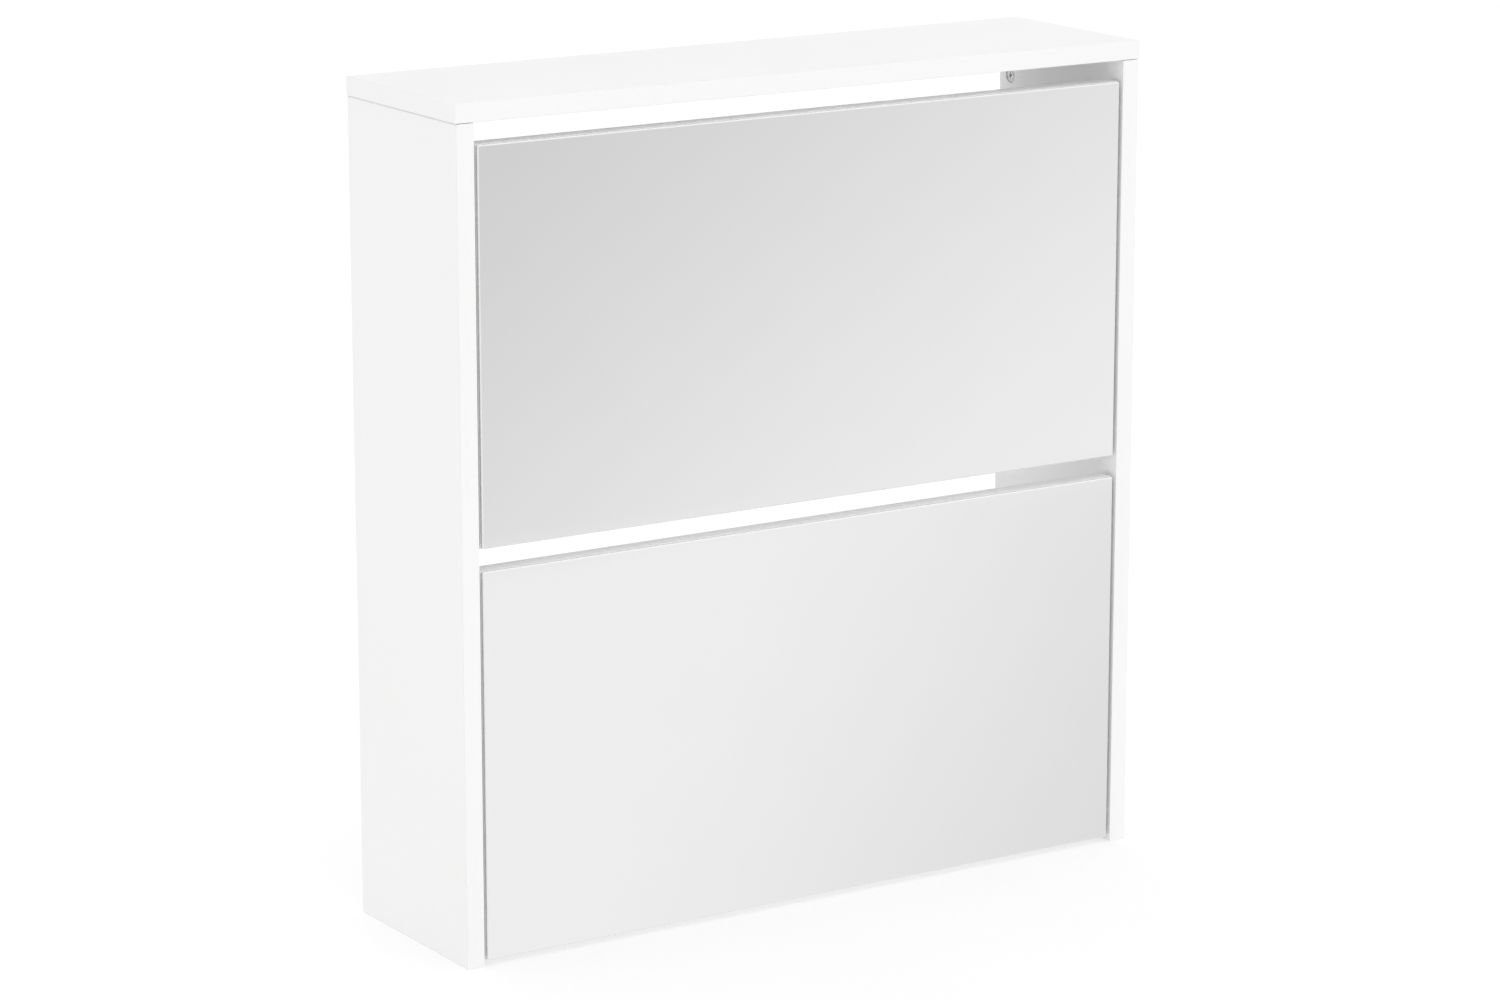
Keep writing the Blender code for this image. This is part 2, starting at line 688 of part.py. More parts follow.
def bin_bottom(name, axis):
    """The board that the shoes stand on, in the side plates' channels and reaching under the back board."""
    end = BIN_OUTER - PLATE - SEAT
    foot = -BIN_DROP + RIM + SEAT
    front = BIN_FRONT + SEAT + RIM + SEAT
    rear = BIN_REAR_FOOT - RIM - 3 * SEAT  # clear of the rear rim's rounded corner
    box(name, (-end, front, foot), (end, rear, foot + BIN_BOARD), WHITE_PAINT, axis, EDGE, segments=1)


def bin_back(name, axis):
    """The leaning board behind the shoes."""
    end = BIN_OUTER - PLATE - SEAT
    rear = RIM + SEAT
    foot = RIM + BIN_BOARD + SEAT
    board = box(
        name,
        (-end, -rear - BIN_BOARD, foot),
        (end, -rear, back_board_top()),
        WHITE_PAINT,
        axis,
        EDGE,
        segments=1,
    )
    lean(board)


def bin_screw(door, name, side, height, axis):
    """A pan-head screw through the flange into the door's back."""
    under_head = FLANGE + SEAT
    in_door = BOARD - SCREW_TIP_WALL
    dome = 2.2 * MM
    profile = [
        (0, under_head + SEAT + dome),
        (SCREW_HEAD * 0.55, under_head + SEAT + dome * 0.85),
        (SCREW_HEAD * 0.9, under_head + SEAT + dome * 0.45),
        (SCREW_HEAD, under_head + SEAT),
        (SCREW_RADIUS, under_head + SEAT),
        (SCREW_RADIUS, -in_door + 2 * MM),
        (0, -in_door),
    ]
    place = Vector((side * screw_x(), DOOR_BACK, height))
    screw = turned(name, profile, place, (0, 1, 0), STEEL, axis, sides=12)
    length, width, recess = 3.4 * MM, 0.8 * MM, 1.2 * MM
    head_top = under_head + SEAT + dome
    for bar, (x, z) in enumerate(((length, width), (width, length))):
        reach = Vector((x / 2, 0, z / 2))
        start = place - reach + Vector((0, head_top - recess, 0))
        end = place + reach + Vector((0, head_top + OVERCUT, 0))
        cut(screw, box(f"{name}_cross_{bar}", start, end, parent=axis))
    bore(door, place, (0, -1, 0), in_door + SEAT, SCREW_RADIUS + SEAT, sides=12)


# ---------------------------------------------------------------- the cabinet


def main():
    top, panels = build_panels()
    join_top(top, panels)
    build_rails(panels)
    fit_pivots(panels)
    for level, door_foot in FLAPS.items():
        build_flap(level, door_foot)


main()
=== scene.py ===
"""Looks for the mirrored shoe cabinet: materials, fine pieces, floor, light and camera.

Everything is in metres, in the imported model's frame: the front faces -Y and the floor is z = 0.
"""

import json
import math

import bmesh
import bpy
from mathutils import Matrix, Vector


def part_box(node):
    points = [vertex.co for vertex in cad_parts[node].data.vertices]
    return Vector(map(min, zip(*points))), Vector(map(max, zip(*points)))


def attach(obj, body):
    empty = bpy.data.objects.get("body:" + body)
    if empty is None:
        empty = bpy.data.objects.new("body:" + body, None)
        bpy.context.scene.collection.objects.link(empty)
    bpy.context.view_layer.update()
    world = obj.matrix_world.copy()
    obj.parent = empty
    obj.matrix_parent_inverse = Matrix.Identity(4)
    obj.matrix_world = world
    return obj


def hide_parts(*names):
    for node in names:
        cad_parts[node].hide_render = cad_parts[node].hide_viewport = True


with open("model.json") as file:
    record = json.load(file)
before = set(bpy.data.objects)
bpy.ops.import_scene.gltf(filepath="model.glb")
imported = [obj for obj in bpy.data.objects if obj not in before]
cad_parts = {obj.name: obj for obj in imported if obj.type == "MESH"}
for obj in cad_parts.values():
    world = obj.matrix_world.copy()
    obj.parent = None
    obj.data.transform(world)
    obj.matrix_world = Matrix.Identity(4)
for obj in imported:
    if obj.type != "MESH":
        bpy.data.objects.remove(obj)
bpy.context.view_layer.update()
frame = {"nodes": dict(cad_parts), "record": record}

MM = 0.001
NODES = frame["nodes"]
BODY_OF = {node: body for body, nodes in frame["record"]["behaviour"]["bodies"].items() for node in nodes}
SIDES = {"left": -1, "right": 1}
FLAPS = ("upper", "lower")
SHARP_ANGLE = math.radians(32)  # edges sharper than this stay crisp
FLAT_ANGLE = math.radians(1)  # facets closer than this are one flat face
WELD_DISTANCE = 0.002 * MM

# Camera, at the photograph's viewing angle
CAMERA_PLACE = (-2.041, -3.180, 1.209)
CAMERA_HEADING = math.radians(32.66)  # turned from +Y towards +X
CAMERA_DIP = math.radians(13.33)  # below the horizon
CAMERA_LENS = 116.4  # mm

# Studio
FLOOR_HALF = 40.0
FLOOR_GLOW = 0.525  # the light it gives off
FLOOR_WHITE = 0.46  # the share of other light that it throws back
SKY = 0.84  # its mean brightness
SKY_GAIN = 0.45  # how much stronger the sky is along its axis, and weaker against it
SKY_GAIN_AXIS = (0, -0.42, 0.908)  # high up in front
SOFTBOX_PLACE = (0, 1.2, 0.40)  # behind the open back
SOFTBOX_SIZE = (0.56, 0.7)
SOFTBOX_POWER = 1.0

# What the mirrors show: two soft screens below the horizon. A screen's tone follows the direction's
# part along its axis, and each pair is such a part and its tone.
UPPER_SCREEN_AXIS = (0.695, 0, -0.719)
UPPER_SCREEN = ((-1.0, 0.92), (-0.15, 0.98), (0.42, 0.69), (0.585, 0.985), (1.0, 0.95))
LOWER_SCREEN_AXIS = (0.866, 0, -0.5)
LOWER_SCREEN = ((-1.0, 0.90), (-0.20, 0.95), (0.35, 0.84), (0.565, 0.98), (0.68, 0.79), (1.0, 0.90))
SCREEN_EDGE_SLOPE = 0.287  # between the screens: how far down a direction goes for each step forward
SCREEN_EDGE_BLUR = 0.006
HORIZON_BLUR = 0.02

# Boards and glass
EDGE_BAND = 0.8 * MM
BAND_SEAM = (0.03 * MM, 0.12 * MM)  # half widths of the seam's dark middle and of all of it
COATING = 0.35 * MM
CUT_EDGE = (0.02 * MM, 0.05 * MM)  # how deep a bare end shows its fibre, and where the paint is whole
ARRIS = (0.7 * MM, 0.95 * MM)  # the ground edge, and where the silver is whole
MOULDED_EDGE = 0.4 * MM

# Fittings
SMOOTH_SIDES = 48
SOFT_CORNER = 0.25 * MM
CAM_RIM = 0.9 * MM  # raised edge of a cam's face
CAM_RING = 0.8 * MM  # sunk ring inside it
CAM_SUNK_RING = 0.35 * MM
CAM_CROSS = (5.0 * MM, 1.1 * MM, 1.9 * MM)  # span, width and depth
CAM_MOUTH = 3.6 * MM  # radius of the hole for the bolt
CAM_WALL = 1.3 * MM
CAM_POINTER = (2.9 * MM, 4.1 * MM, 0.7 * MM, 0.3 * MM)  # near end, tip, half width and depth
BOLT_RADIUS = 2.5 * MM
BOLT_COLLAR = 3.6 * MM
BOLT_HEAD = 3.2 * MM
BOLT_NECK = 1.9 * MM
BOLT_THREAD = 11 * MM  # its length
BOLT_PITCH = 2.5 * MM
DOWEL_RADIUS = 4 * MM
DOWEL_CHAMFER = 1 * MM
DOWEL_FLUTES = 16
DOWEL_FLUTE_DEPTH = 0.35 * MM
PIN_RADIUS = 3 * MM
PIN_CHAMFER = 0.6 * MM
PIN_IN_DOOR = 20 * MM
PIN_KNURLS = 20
PIN_KNURL_DEPTH = 0.2 * MM
BUSH_BODY = 5 * MM
BUSH_FLANGE = (7 * MM, 1 * MM)  # radius and depth
BUSH_WELL = 3.3 * MM
BUSH_FLOOR = 1.4 * MM
BUSH_RIBS = 12
BUSH_RIB_DEPTH = 0.25 * MM
STUD_RADIUS = 4 * MM
STUD_COLLAR = (6.5 * MM, 1.5 * MM)  # radius and depth
STUD_SHANK = (3.7 * MM, 11.3 * MM)  # radius over its barbs, and length
STUD_TIP = 1.2 * MM
BARB_DEPTH = 0.5 * MM
BARB_STEP = 2 * MM
SCREW_RADIUS = 1.6 * MM
SCREW_ROOT = 1.05 * MM
SCREW_PITCH = 1.5 * MM
SCREW_HEAD = 3.5 * MM
SCREW_DOME = 2.2 * MM
SCREW_TIP = (0.2 * MM, 2 * MM)  # radius and length
SCREW_CROSS = (3.6 * MM, 0.7 * MM, 1.3 * MM)


# ---------------------------------------------------------------- shader nodes


class NodeTree:
    """Adds shader nodes to one tree."""

    def __init__(self, tree):
        self.tree = tree

    def add(self, kind, inputs=None, **settings):
        """Adds a node. An input is a number, a colour, or the socket that feeds it."""
        node = self.tree.nodes.new("ShaderNode" + kind)
        for name, value in settings.items():
            setattr(node, name, value)
        for name, value in (inputs or {}).items():
            self.feed(node.inputs[name], value)
        return node

    def feed(self, socket, value):
        """Sets a socket, or links it to the socket given."""
        if isinstance(value, bpy.types.NodeSocket):
            self.tree.links.new(value, socket)
        else:
            socket.default_value = value

    def span(self, value, low, high, start, end, kind="SMOOTHSTEP"):
        """Value taken from low..high to start..end, and no further."""
        inputs = {"Value": value, "From Min": low, "From Max": high, "To Min": start, "To Max": end}
        return self.add("MapRange", inputs, interpolation_type=kind).outputs[0]

    def blend(self, share, first, second):
        """A colour that is first where share is 0 and second where it is 1."""
        return self.add("Mix", {0: share, 6: first, 7: second}, data_type="RGBA").outputs[2]


class Graph(NodeTree):
    """The shader nodes of one material."""

    def __init__(self, name):
        self.material = bpy.data.materials.new(name)
        self.material.use_nodes = True
        super().__init__(self.material.node_tree)
        self.shader = self.tree.nodes["Principled BSDF"]
        self.place = self.add("TexCoord").outputs["Object"]

    def math(self, operation, first, second=0.0):
        """The sum, product or the like of two numbers."""
        return self.add("Math", {0: first, 1: second}, operation=operation).outputs[0]

    def noise(self, scale, detail=3.0, roughness=0.5, stretch=(1, 1, 1)):
        """Noise with that many features a metre, stretched along the axes. Its mean is about 0.5."""
        mapping = self.add("Mapping", {"Vector": self.place, "Scale": stretch})
        inputs = {"Vector": mapping.outputs[0], "Scale": scale, "Detail": detail, "Roughness": roughness}
        return self.add("TexNoise", inputs).outputs["Fac"]

    def surface(self, **inputs):
        """Sets the shader's inputs, named with _ for a space."""
        for name, value in inputs.items():
            self.feed(self.shader.inputs[name.replace("_", " ")], value)

    def bump(self, height, distance, under=None):
        """The normal of a relief that is distance deep, laid over another one if under is given."""
        inputs = {"Height": height, "Distance": distance, "Strength": 1.0}
        if under:
            inputs["Normal"] = under
        return self.add("Bump", inputs).outputs[0]

    def depth_in_box(self, low, high, axes):
        """Distance from the nearest of a box's faces that are square to the axes."""
        parts = self.add("SeparateXYZ", {0: self.place})
        nearest = None
        for axis in axes:
            for gap in (
                self.math("SUBTRACT", parts.outputs[axis], low[axis]),
                self.math("SUBTRACT", high[axis], parts.outputs[axis]),
            ):
                nearest = gap if nearest is None else self.math("MINIMUM", nearest, gap)
        return nearest


def grey(value, warmth=0.0):
    """A near-neutral linear colour."""
    return value * (1 + warmth), value, value * (1 - warmth), 1


# ---------------------------------------------------------------- materials


def coated_board(node, thickness_axis):
    """White melamine on chipboard, with glued edge bands. Its bores show the chipboard."""
    low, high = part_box(node)
    across = [axis for axis in range(3) if axis != thickness_axis]
    graph = Graph(f"{node}_melamine")
    from_outline = graph.depth_in_box(low, high, across)
    from_face = graph.depth_in_box(low, high, [thickness_axis])
    deepest = graph.math("MINIMUM", from_outline, from_face)

    seam = graph.math("ABSOLUTE", graph.math("SUBTRACT", from_outline, EDGE_BAND))
    seam = graph.span(seam, *BAND_SEAM, 1, 0)
    tint = graph.span(graph.noise(4, 1), 0.2, 0.8, 0, 1)
    white = graph.blend(tint, grey(0.868, 0.003), grey(0.880, -0.001))
    white = graph.blend(graph.math("MULTIPLY", seam, 0.35), white, grey(0.45, 0.03))

    chips, rough = chipboard(graph)
    core = graph.span(deepest, COATING, COATING + 0.1 * MM, 0, 1)

    gloss = graph.span(graph.noise(20, 1), 0.2, 0.8, 0.30, 0.36)
    gloss = graph.math("ADD", gloss, graph.math("MULTIPLY", seam, 0.2))
    flow = graph.bump(graph.noise(60, 1), 0.03 * MM)
    grain = graph.bump(graph.noise(700, 1), 0.008 * MM, flow)
    normal = graph.add("Mix", {0: core, 4: grain, 5: rough}, data_type="VECTOR").outputs[1]
    graph.surface(
        Base_Color=graph.blend(core, white, chips),
        Roughness=graph.math("MAXIMUM", gloss, graph.math("MULTIPLY", core, 0.9)),
        Normal=normal,
    )
    return graph.material


def chipboard(graph):
    """The colour of bare chipboard, and the normal of its relief."""
    chips = graph.add("TexVoronoi", {"Vector": graph.place, "Scale": 700.0}).outputs["Color"]
    tone = graph.add("SeparateColor", {0: chips}).outputs[0]
    colour = graph.blend(tone, (0.36, 0.24, 0.14, 1), (0.62, 0.46, 0.30, 1))
    return colour, graph.bump(tone, 0.25 * MM)


def silvered_glass(node):
    """A mirror pane: silver behind float glass, with a ground and polished arris."""
    low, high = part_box(node)
    graph = Graph(f"{node}_silver")
    from_outline = graph.depth_in_box(low, high, (0, 2))
    arris = graph.span(from_outline, *ARRIS, 1, 0)
    film = graph.noise(14, 5, 0.6)
    silver = graph.blend(graph.span(film, 0.35, 0.7, 0, 1), grey(0.872), grey(0.866))
    haze = graph.span(film, 0.45, 0.8, 0.0, 0.02)
    graph.surface(
        Base_Color=graph.blend(arris, silver, (0.83, 0.86, 0.845, 1)),
        Metallic=graph.span(arris, 0, 1, 1, 0.3),
        Roughness=graph.math("ADD", haze, graph.math("MULTIPLY", arris, 0.25)),
        Normal=graph.bump(graph.noise(5, 1, 0.3), 0.02 * MM),
    )
    return graph.material


def painted_fibreboard(node):
    """Thin fibreboard with rolled white paint, and a little fibre showing along its cut edges."""
    low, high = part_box(node)
    graph = Graph(f"{node}_paint")
    from_end = graph.depth_in_box(low, high, (0,))
    stipple = graph.noise(420, 2)
    cloud = graph.noise(6, 1)
    white = graph.blend(graph.span(cloud, 0.3, 0.7, 0, 1), grey(0.85, 0.005), grey(0.865))
    fibre = graph.blend(graph.noise(900, 2), (0.42, 0.30, 0.19, 1), (0.60, 0.47, 0.33, 1))
    cut = graph.span(from_end, *CUT_EDGE, 1, 0)
    graph.surface(
        Base_Color=graph.blend(cut, white, fibre),
        Roughness=graph.span(cloud, 0.2, 0.8, 0.50, 0.60),
        Normal=graph.bump(stipple, 0.06 * MM),
    )
    return graph.material


def moulded_plastic(name):
    """White polypropylene with the fine spark grain of its mould."""
    graph = Graph(name)
    spark = graph.noise(1100, 2)
    cloud = graph.noise(12, 1)
    graph.surface(
        Base_Color=graph.blend(graph.span(cloud, 0.3, 0.7, 0, 1), grey(0.845), grey(0.87)),
        Roughness=graph.span(cloud, 0.3, 0.7, 0.36, 0.46),
        Normal=graph.bump(spark, 0.022 * MM),
        Subsurface_Weight=0.08,
        Subsurface_Scale=2 * MM,
    )
    return graph.material


def cast_zinc():
    """Die-cast zinc, grey and slightly clouded, brighter where it was tumbled."""
    graph = Graph("cast_zinc")
    cloud = graph.noise(300, 4, 0.6)
    pits = graph.noise(2600, 2)
    tone = graph.span(cloud, 0.3, 0.7, 0, 1)
    graph.surface(
        Base_Color=graph.blend(tone, (0.52, 0.52, 0.53, 1), (0.70, 0.70, 0.70, 1)),
        Metallic=0.9,
        Roughness=graph.span(cloud, 0.3, 0.7, 0.5, 0.32),
        Normal=graph.bump(pits, 0.02 * MM),
    )
    return graph.material


def plated_steel():
    """Zinc-plated steel with a faint iridescent mottling."""
    graph = Graph("plated_steel")
    cloud = graph.noise(200, 4, 0.6)
    grain = graph.noise(60, 2, 0.5, (40, 40, 40))
    tone = graph.span(cloud, 0.3, 0.7, 0, 1)
    graph.surface(
        Base_Color=graph.blend(tone, (0.60, 0.62, 0.66, 1), (0.74, 0.73, 0.68, 1)),
        Metallic=1.0,
        Roughness=graph.span(cloud, 0.3, 0.7, 0.22, 0.36),
        Normal=graph.bump(grain, 0.006 * MM),
    )
    return graph.material


def bare_beech(axis):
    """Beech with short dark flecks along its length."""
    graph = Graph(f"bare_beech_{'xyz'[axis]}")
    fleck = graph.noise(700, 3, 0.6, [0.12 if i == axis else 1 for i in range(3)])
    tone = graph.span(fleck, 0.35, 0.65, 0, 1)
    graph.surface(
        Base_Color=graph.blend(tone, (0.48, 0.30, 0.16, 1), (0.68, 0.48, 0.29, 1)),
        Roughness=graph.span(fleck, 0.3, 0.7, 0.75, 0.6),
        Normal=graph.bump(fleck, 0.05 * MM),
    )
    return graph.material


def paint(obj, material):
    """Puts one material on all of an object."""
    obj.data.materials.clear()
    obj.data.materials.append(material)


# ---------------------------------------------------------------- shading of round pieces


def rounding_group():
    """Geometry nodes that weld a mesh's faces and shade it smooth, except over sharp edges."""
    group = bpy.data.node_groups.new("round_shading", "GeometryNodeTree")
    group.interface.new_socket("Geometry", in_out="INPUT", socket_type="NodeSocketGeometry")
    group.interface.new_socket("Geometry", in_out="OUTPUT", socket_type="NodeSocketGeometry")
    nodes, links = group.nodes, group.links
    start = nodes.new("NodeGroupInput")
    weld = nodes.new("GeometryNodeMergeByDistance")
    weld.inputs["Distance"].default_value = WELD_DISTANCE
    plain = nodes.new("GeometryNodeRemoveAttribute")
    plain.inputs["Name"].default_value = "custom_normal"
    faces = nodes.new("GeometryNodeSetShadeSmooth")
    faces.domain = "FACE"
    edges = nodes.new("GeometryNodeSetShadeSmooth")
    edges.domain = "EDGE"
    angle = nodes.new("GeometryNodeInputMeshEdgeAngle")
    gentle = nodes.new("FunctionNodeCompare")
    gentle.operation = "LESS_THAN"
    gentle.inputs["B"].default_value = SHARP_ANGLE
    end = nodes.new("NodeGroupOutput")
    links.new(start.outputs[0], weld.inputs["Geometry"])
    links.new(weld.outputs[0], plain.inputs["Geometry"])
    links.new(plain.outputs[0], faces.inputs["Geometry"])
    links.new(faces.outputs[0], edges.inputs["Geometry"])
    links.new(angle.outputs["Unsigned Angle"], gentle.inputs["A"])
    links.new(gentle.outputs["Result"], edges.inputs["Shade Smooth"])
    links.new(edges.outputs[0], end.inputs[0])
    return group


# ---------------------------------------------------------------- studio


def make_floor():
    """A white light table. Mirrors and gloss don't show it, and show the screens in its place."""
    bpy.ops.mesh.primitive_plane_add(size=2 * FLOOR_HALF, location=(0, 0, 0))
    floor = bpy.context.object
    floor.name = "floor"
    floor.visible_glossy = False
    graph = Graph("light_table")
    cloud = graph.span(graph.noise(3, 3), 0.3, 0.7, 0, 1)
    graph.surface(
        Base_Color=graph.blend(cloud, grey(FLOOR_WHITE - 0.01), grey(FLOOR_WHITE)),
        Roughness=0.9,
        Specular_IOR_Level=0.0,
        Emission_Color=(1, 1, 1, 1),
        Emission_Strength=FLOOR_GLOW,
    )
    paint(floor, graph.material)


class Sky(NodeTree):
    """The shader nodes of the world. They work on the direction that a ray leaves in."""

    def __init__(self):
        world = bpy.data.worlds.new("studio")
        world.use_nodes = True
        bpy.context.scene.world = world
        super().__init__(world.node_tree)
        self.direction = self.add("TexCoord").outputs["Generated"]

    def along(self, axis):
        """The direction's part along an axis, from -1 to 1."""
        node = self.add("VectorMath", {0: self.direction, 1: axis}, operation="DOT_PRODUCT")
        return node.outputs["Value"]

    def screen(self, axis, tones):
        """The tone along an axis, eased from stop to stop."""
        share = self.span(self.along(axis), -1, 1, 0, 1, "LINEAR")
        node = self.add("ValToRGB", {0: share})
        node.color_ramp.interpolation = "EASE"
        stops = node.color_ramp.elements
        while len(stops) < len(tones):
            stops.new(0.5)
        for stop, (place, tone) in zip(stops, tones):
            stop.position = (place + 1) / 2
            stop.color = grey(tone)
        return node.outputs[0]


def make_world():
    """Soft white light all round, stronger from above, and the screens below the horizon."""
    sky = Sky()
    edge = Vector((0, -SCREEN_EDGE_SLOPE, 1)).normalized()
    on_upper = sky.span(sky.along(edge), -SCREEN_EDGE_BLUR, SCREEN_EDGE_BLUR, 0, 1)
    lower = sky.screen(LOWER_SCREEN_AXIS, LOWER_SCREEN)
    screens = sky.blend(on_upper, lower, sky.screen(UPPER_SCREEN_AXIS, UPPER_SCREEN))
    weak, strong = SKY * (1 - SKY_GAIN), SKY * (1 + SKY_GAIN)
    light = sky.span(sky.along(SKY_GAIN_AXIS), -1, 1, weak, strong)
    above = sky.span(sky.along((0, 0, 1)), -HORIZON_BLUR, 0, 0, 1)
    background = sky.tree.nodes["Background"]
    sky.feed(background.inputs["Color"], sky.blend(above, screens, light))
    background.inputs["Strength"].default_value = 1.0


def make_softbox():
    """A soft light behind the cabinet that shines into its open back."""
    light = bpy.data.lights.new("softbox", "AREA")
    light.shape = "RECTANGLE"
    light.size, light.size_y = SOFTBOX_SIZE
    light.energy = SOFTBOX_POWER
    softbox = bpy.data.objects.new("softbox", light)
    softbox.location = SOFTBOX_PLACE
    softbox.rotation_euler = (-math.pi / 2, 0, 0)  # it shines towards -Y
    softbox.visible_camera = False
    softbox.visible_glossy = False
    bpy.context.scene.collection.objects.link(softbox)


def make_camera():
    """A camera at the photograph's angle. It has no shift."""
    data = bpy.data.cameras.new("camera")
    data.lens = CAMERA_LENS
    camera = bpy.data.objects.new("camera", data)
    camera.location = CAMERA_PLACE
    camera.rotation_euler = (math.pi / 2 - CAMERA_DIP, 0, -CAMERA_HEADING)
    bpy.context.scene.collection.objects.link(camera)
    bpy.context.scene.camera = camera


# ---------------------------------------------------------------- turned shapes


def eased(profile, reach=SOFT_CORNER, steps=3):
    """The same profile with its corners rounded over that reach."""
    points = [Vector(point) for point in profile]
    smooth = [points[0]]
    for before, corner, after in zip(points, points[1:], points[2:]):
        back, on = before - corner, after - corner
        start = corner + back.normalized() * min(reach, back.length / 2.5)
        end = corner + on.normalized() * min(reach, on.length / 2.5)
        for step in range(steps + 1):
            share = step / steps
            smooth.append(start.lerp(corner, share).lerp(corner.lerp(end, share), share))
    return smooth + [points[-1]]


def divided(profile, step, low, high):
    """The same profile with its runs between two heights divided into short steps."""
    points = [Vector(point) for point in profile]
    fine = [points[0]]
    for start, end in zip(points, points[1:]):
        inside = low <= min(start.y, end.y) and max(start.y, end.y) <= high
        count = max(1, math.ceil(abs(end.y - start.y) / step)) if inside else 1
        fine += [start.lerp(end, i / count) for i in range(1, count + 1)]
    return fine


def thread(low, high, root, pitch):
    """A screw thread between two heights, cut down to a root radius and running out at both ends."""

    def ripple(radius, height, angle):
        fade = min(1, (height - low) / pitch, (high - height) / pitch)
        if fade <= 0 or radius <= root:
            return radius
        turn = (height / pitch - angle / (2 * math.pi)) % 1
        # its crest and its foot are each flat over a fifth of the pitch
        groove = min(1, max(0, 1.7 * (1 - abs(2 * turn - 1)) - 0.35))
        return radius - (radius - root) * groove * fade

    return ripple


def flutes(count, depth, low, high):
    """Grooves along the axis between two heights."""

    def ripple(radius, height, angle):
        if not low < height < high:
            return radius
        return radius - depth * (0.5 - 0.5 * math.cos(count * angle)) ** 2

    return ripple


def turned(name, profile, origin, axis, ripple=None, sides=SMOOTH_SIDES):
    """A closed turned piece. profile is (radius, height along axis from origin), end to end, and
    ripple changes a radius by its height and angle."""
    origin, axis = Vector(origin), Vector(axis)
    first = axis.orthogonal().normalized()
    second = axis.cross(first)
    shell = bmesh.new()
    rings = []
    for radius, height in profile:
        ring = []
        for step in range(sides if radius > 0 else 1):
            angle = 2 * math.pi * step / sides
            out = ripple(radius, height, angle) if ripple else radius
            spoke = first * math.cos(angle) + second * math.sin(angle)
            ring.append(shell.verts.new(origin + axis * height + spoke * out))
        rings.append(ring)
    for lower, upper in zip(rings, rings[1:]):
        for step in range(sides):
            after = (step + 1) % sides
            corners = (lower[step % len(lower)], lower[after % len(lower)])
            corners += (upper[after % len(upper)], upper[step % len(upper)])
            shell.faces.new(list(dict.fromkeys(corners)))
    return new_piece(name, shell)


def tapered(name, top, foot):
    """A closed solid between two outlines with as many points as each other."""
    shell = bmesh.new()
    upper = [shell.verts.new(point) for point in top]
    lower = [shell.verts.new(point) for point in foot]
    shell.faces.new(upper)
    shell.faces.new(lower)
    for step in range(len(upper)):
        after = (step + 1) % len(upper)
        shell.faces.new((upper[step], upper[after], lower[after], lower[step]))
    return new_piece(name, shell)


def new_piece(name, shell):
    """An object made from a bmesh, its faces pointing out."""
    bmesh.ops.recalc_face_normals(shell, faces=shell.faces)
    mesh = bpy.data.meshes.new(name)
    shell.to_mesh(mesh)
    shell.free()
    piece = bpy.data.objects.new(name, mesh)
    bpy.context.scene.collection.objects.link(piece)
    return piece


def carve(piece, *cutters):
    """Cuts the cutters out of a piece, and removes them."""
    for cutter in cutters:
        modifier = piece.modifiers.new(cutter.name, "BOOLEAN")
        modifier.object = cutter
        modifier.solver = "EXACT"
    bpy.context.view_layer.update()
    graph = bpy.context.evaluated_depsgraph_get()
    whole = bpy.data.meshes.new_from_object(piece.evaluated_get(graph))
    piece.modifiers.clear()
    piece.data = whole
    for cutter in cutters:
        bpy.data.objects.remove(cutter, do_unlink=True)


def cross_recess(face, out, along, size):
    """A cutter for a screwdriver's cross, narrower at its foot."""
    span, width, depth = size
    across = Vector(out).cross(along)

    def outline(level, reach, half):
        corners = []
        for turn in range(4):
            ahead = (along, across, -along, -across)[turn]
            aside = (across, -along, -across, along)[turn]
            corners += [ahead * reach - aside * half, ahead * reach + aside * half, (ahead + aside) * half]
        return [face + out * level + corner for corner in corners]

    proud = 0.5 * MM  # so that the cutter stands out of the face
    return tapered("cross", outline(proud, span / 2, width / 2), outline(-depth, span / 4, width / 3))


# ---------------------------------------------------------------- fittings


def seat(node, axis):
    """The middle of the end of a node's box that an axis points to, and the node's length along it."""
    low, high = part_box(node)
    half = sum(abs(axis[i]) * (high[i] - low[i]) / 2 for i in range(3))
    return (low + high) / 2 + Vector(axis) * half, 2 * half


def cam_lock(node, out, joint):
    """A die-cast cam: a ringed face with a cross and a pointer, and the hollow that draws the bolt in."""
    out, joint = Vector(out), Vector(joint)
    face, depth = seat(node, out)
    radius = seat(node, joint)[1] / 2
    ring_out = radius - CAM_RIM
    ring_in = ring_out - CAM_RING
    profile = [
        (0, 0),
        (ring_in, 0),
        (ring_in, -CAM_SUNK_RING),
        (ring_out, -CAM_SUNK_RING),
        (ring_out, 0),
        (radius, 0),
        (radius, -depth),
        (0, -depth),
    ]
    cam = turned(f"{node}_detail", eased(profile), face, out)
    middle = face - out * depth / 2
    hole = [(0, 0), (CAM_MOUTH, 0), (CAM_MOUTH, 2 * radius), (0, 2 * radius)]
    mouth = turned("mouth", hole, middle, joint)
    chamber = radius - CAM_WALL
    hollow = [(0, CAM_MOUTH), (chamber, CAM_MOUTH), (chamber, -CAM_MOUTH), (0, -CAM_MOUTH)]
    cross = cross_recess(face, out, joint, CAM_CROSS)
    carve(cam, turned("hollow", hollow, middle, out), mouth, cross, pointer(face, out, joint))
    return cam


def pointer(face, out, joint):
    """A cutter for the small plain arrow that shows which way a cam pulls."""
    across = out.cross(joint)
    near, far, half, depth = CAM_POINTER
    corners = [joint * far, joint * near + across * half, joint * near - across * half]
    top = [face + out * depth + corner for corner in corners]
    foot = [face - out * depth + corner for corner in corners]
    return tapered("pointer", top, foot)


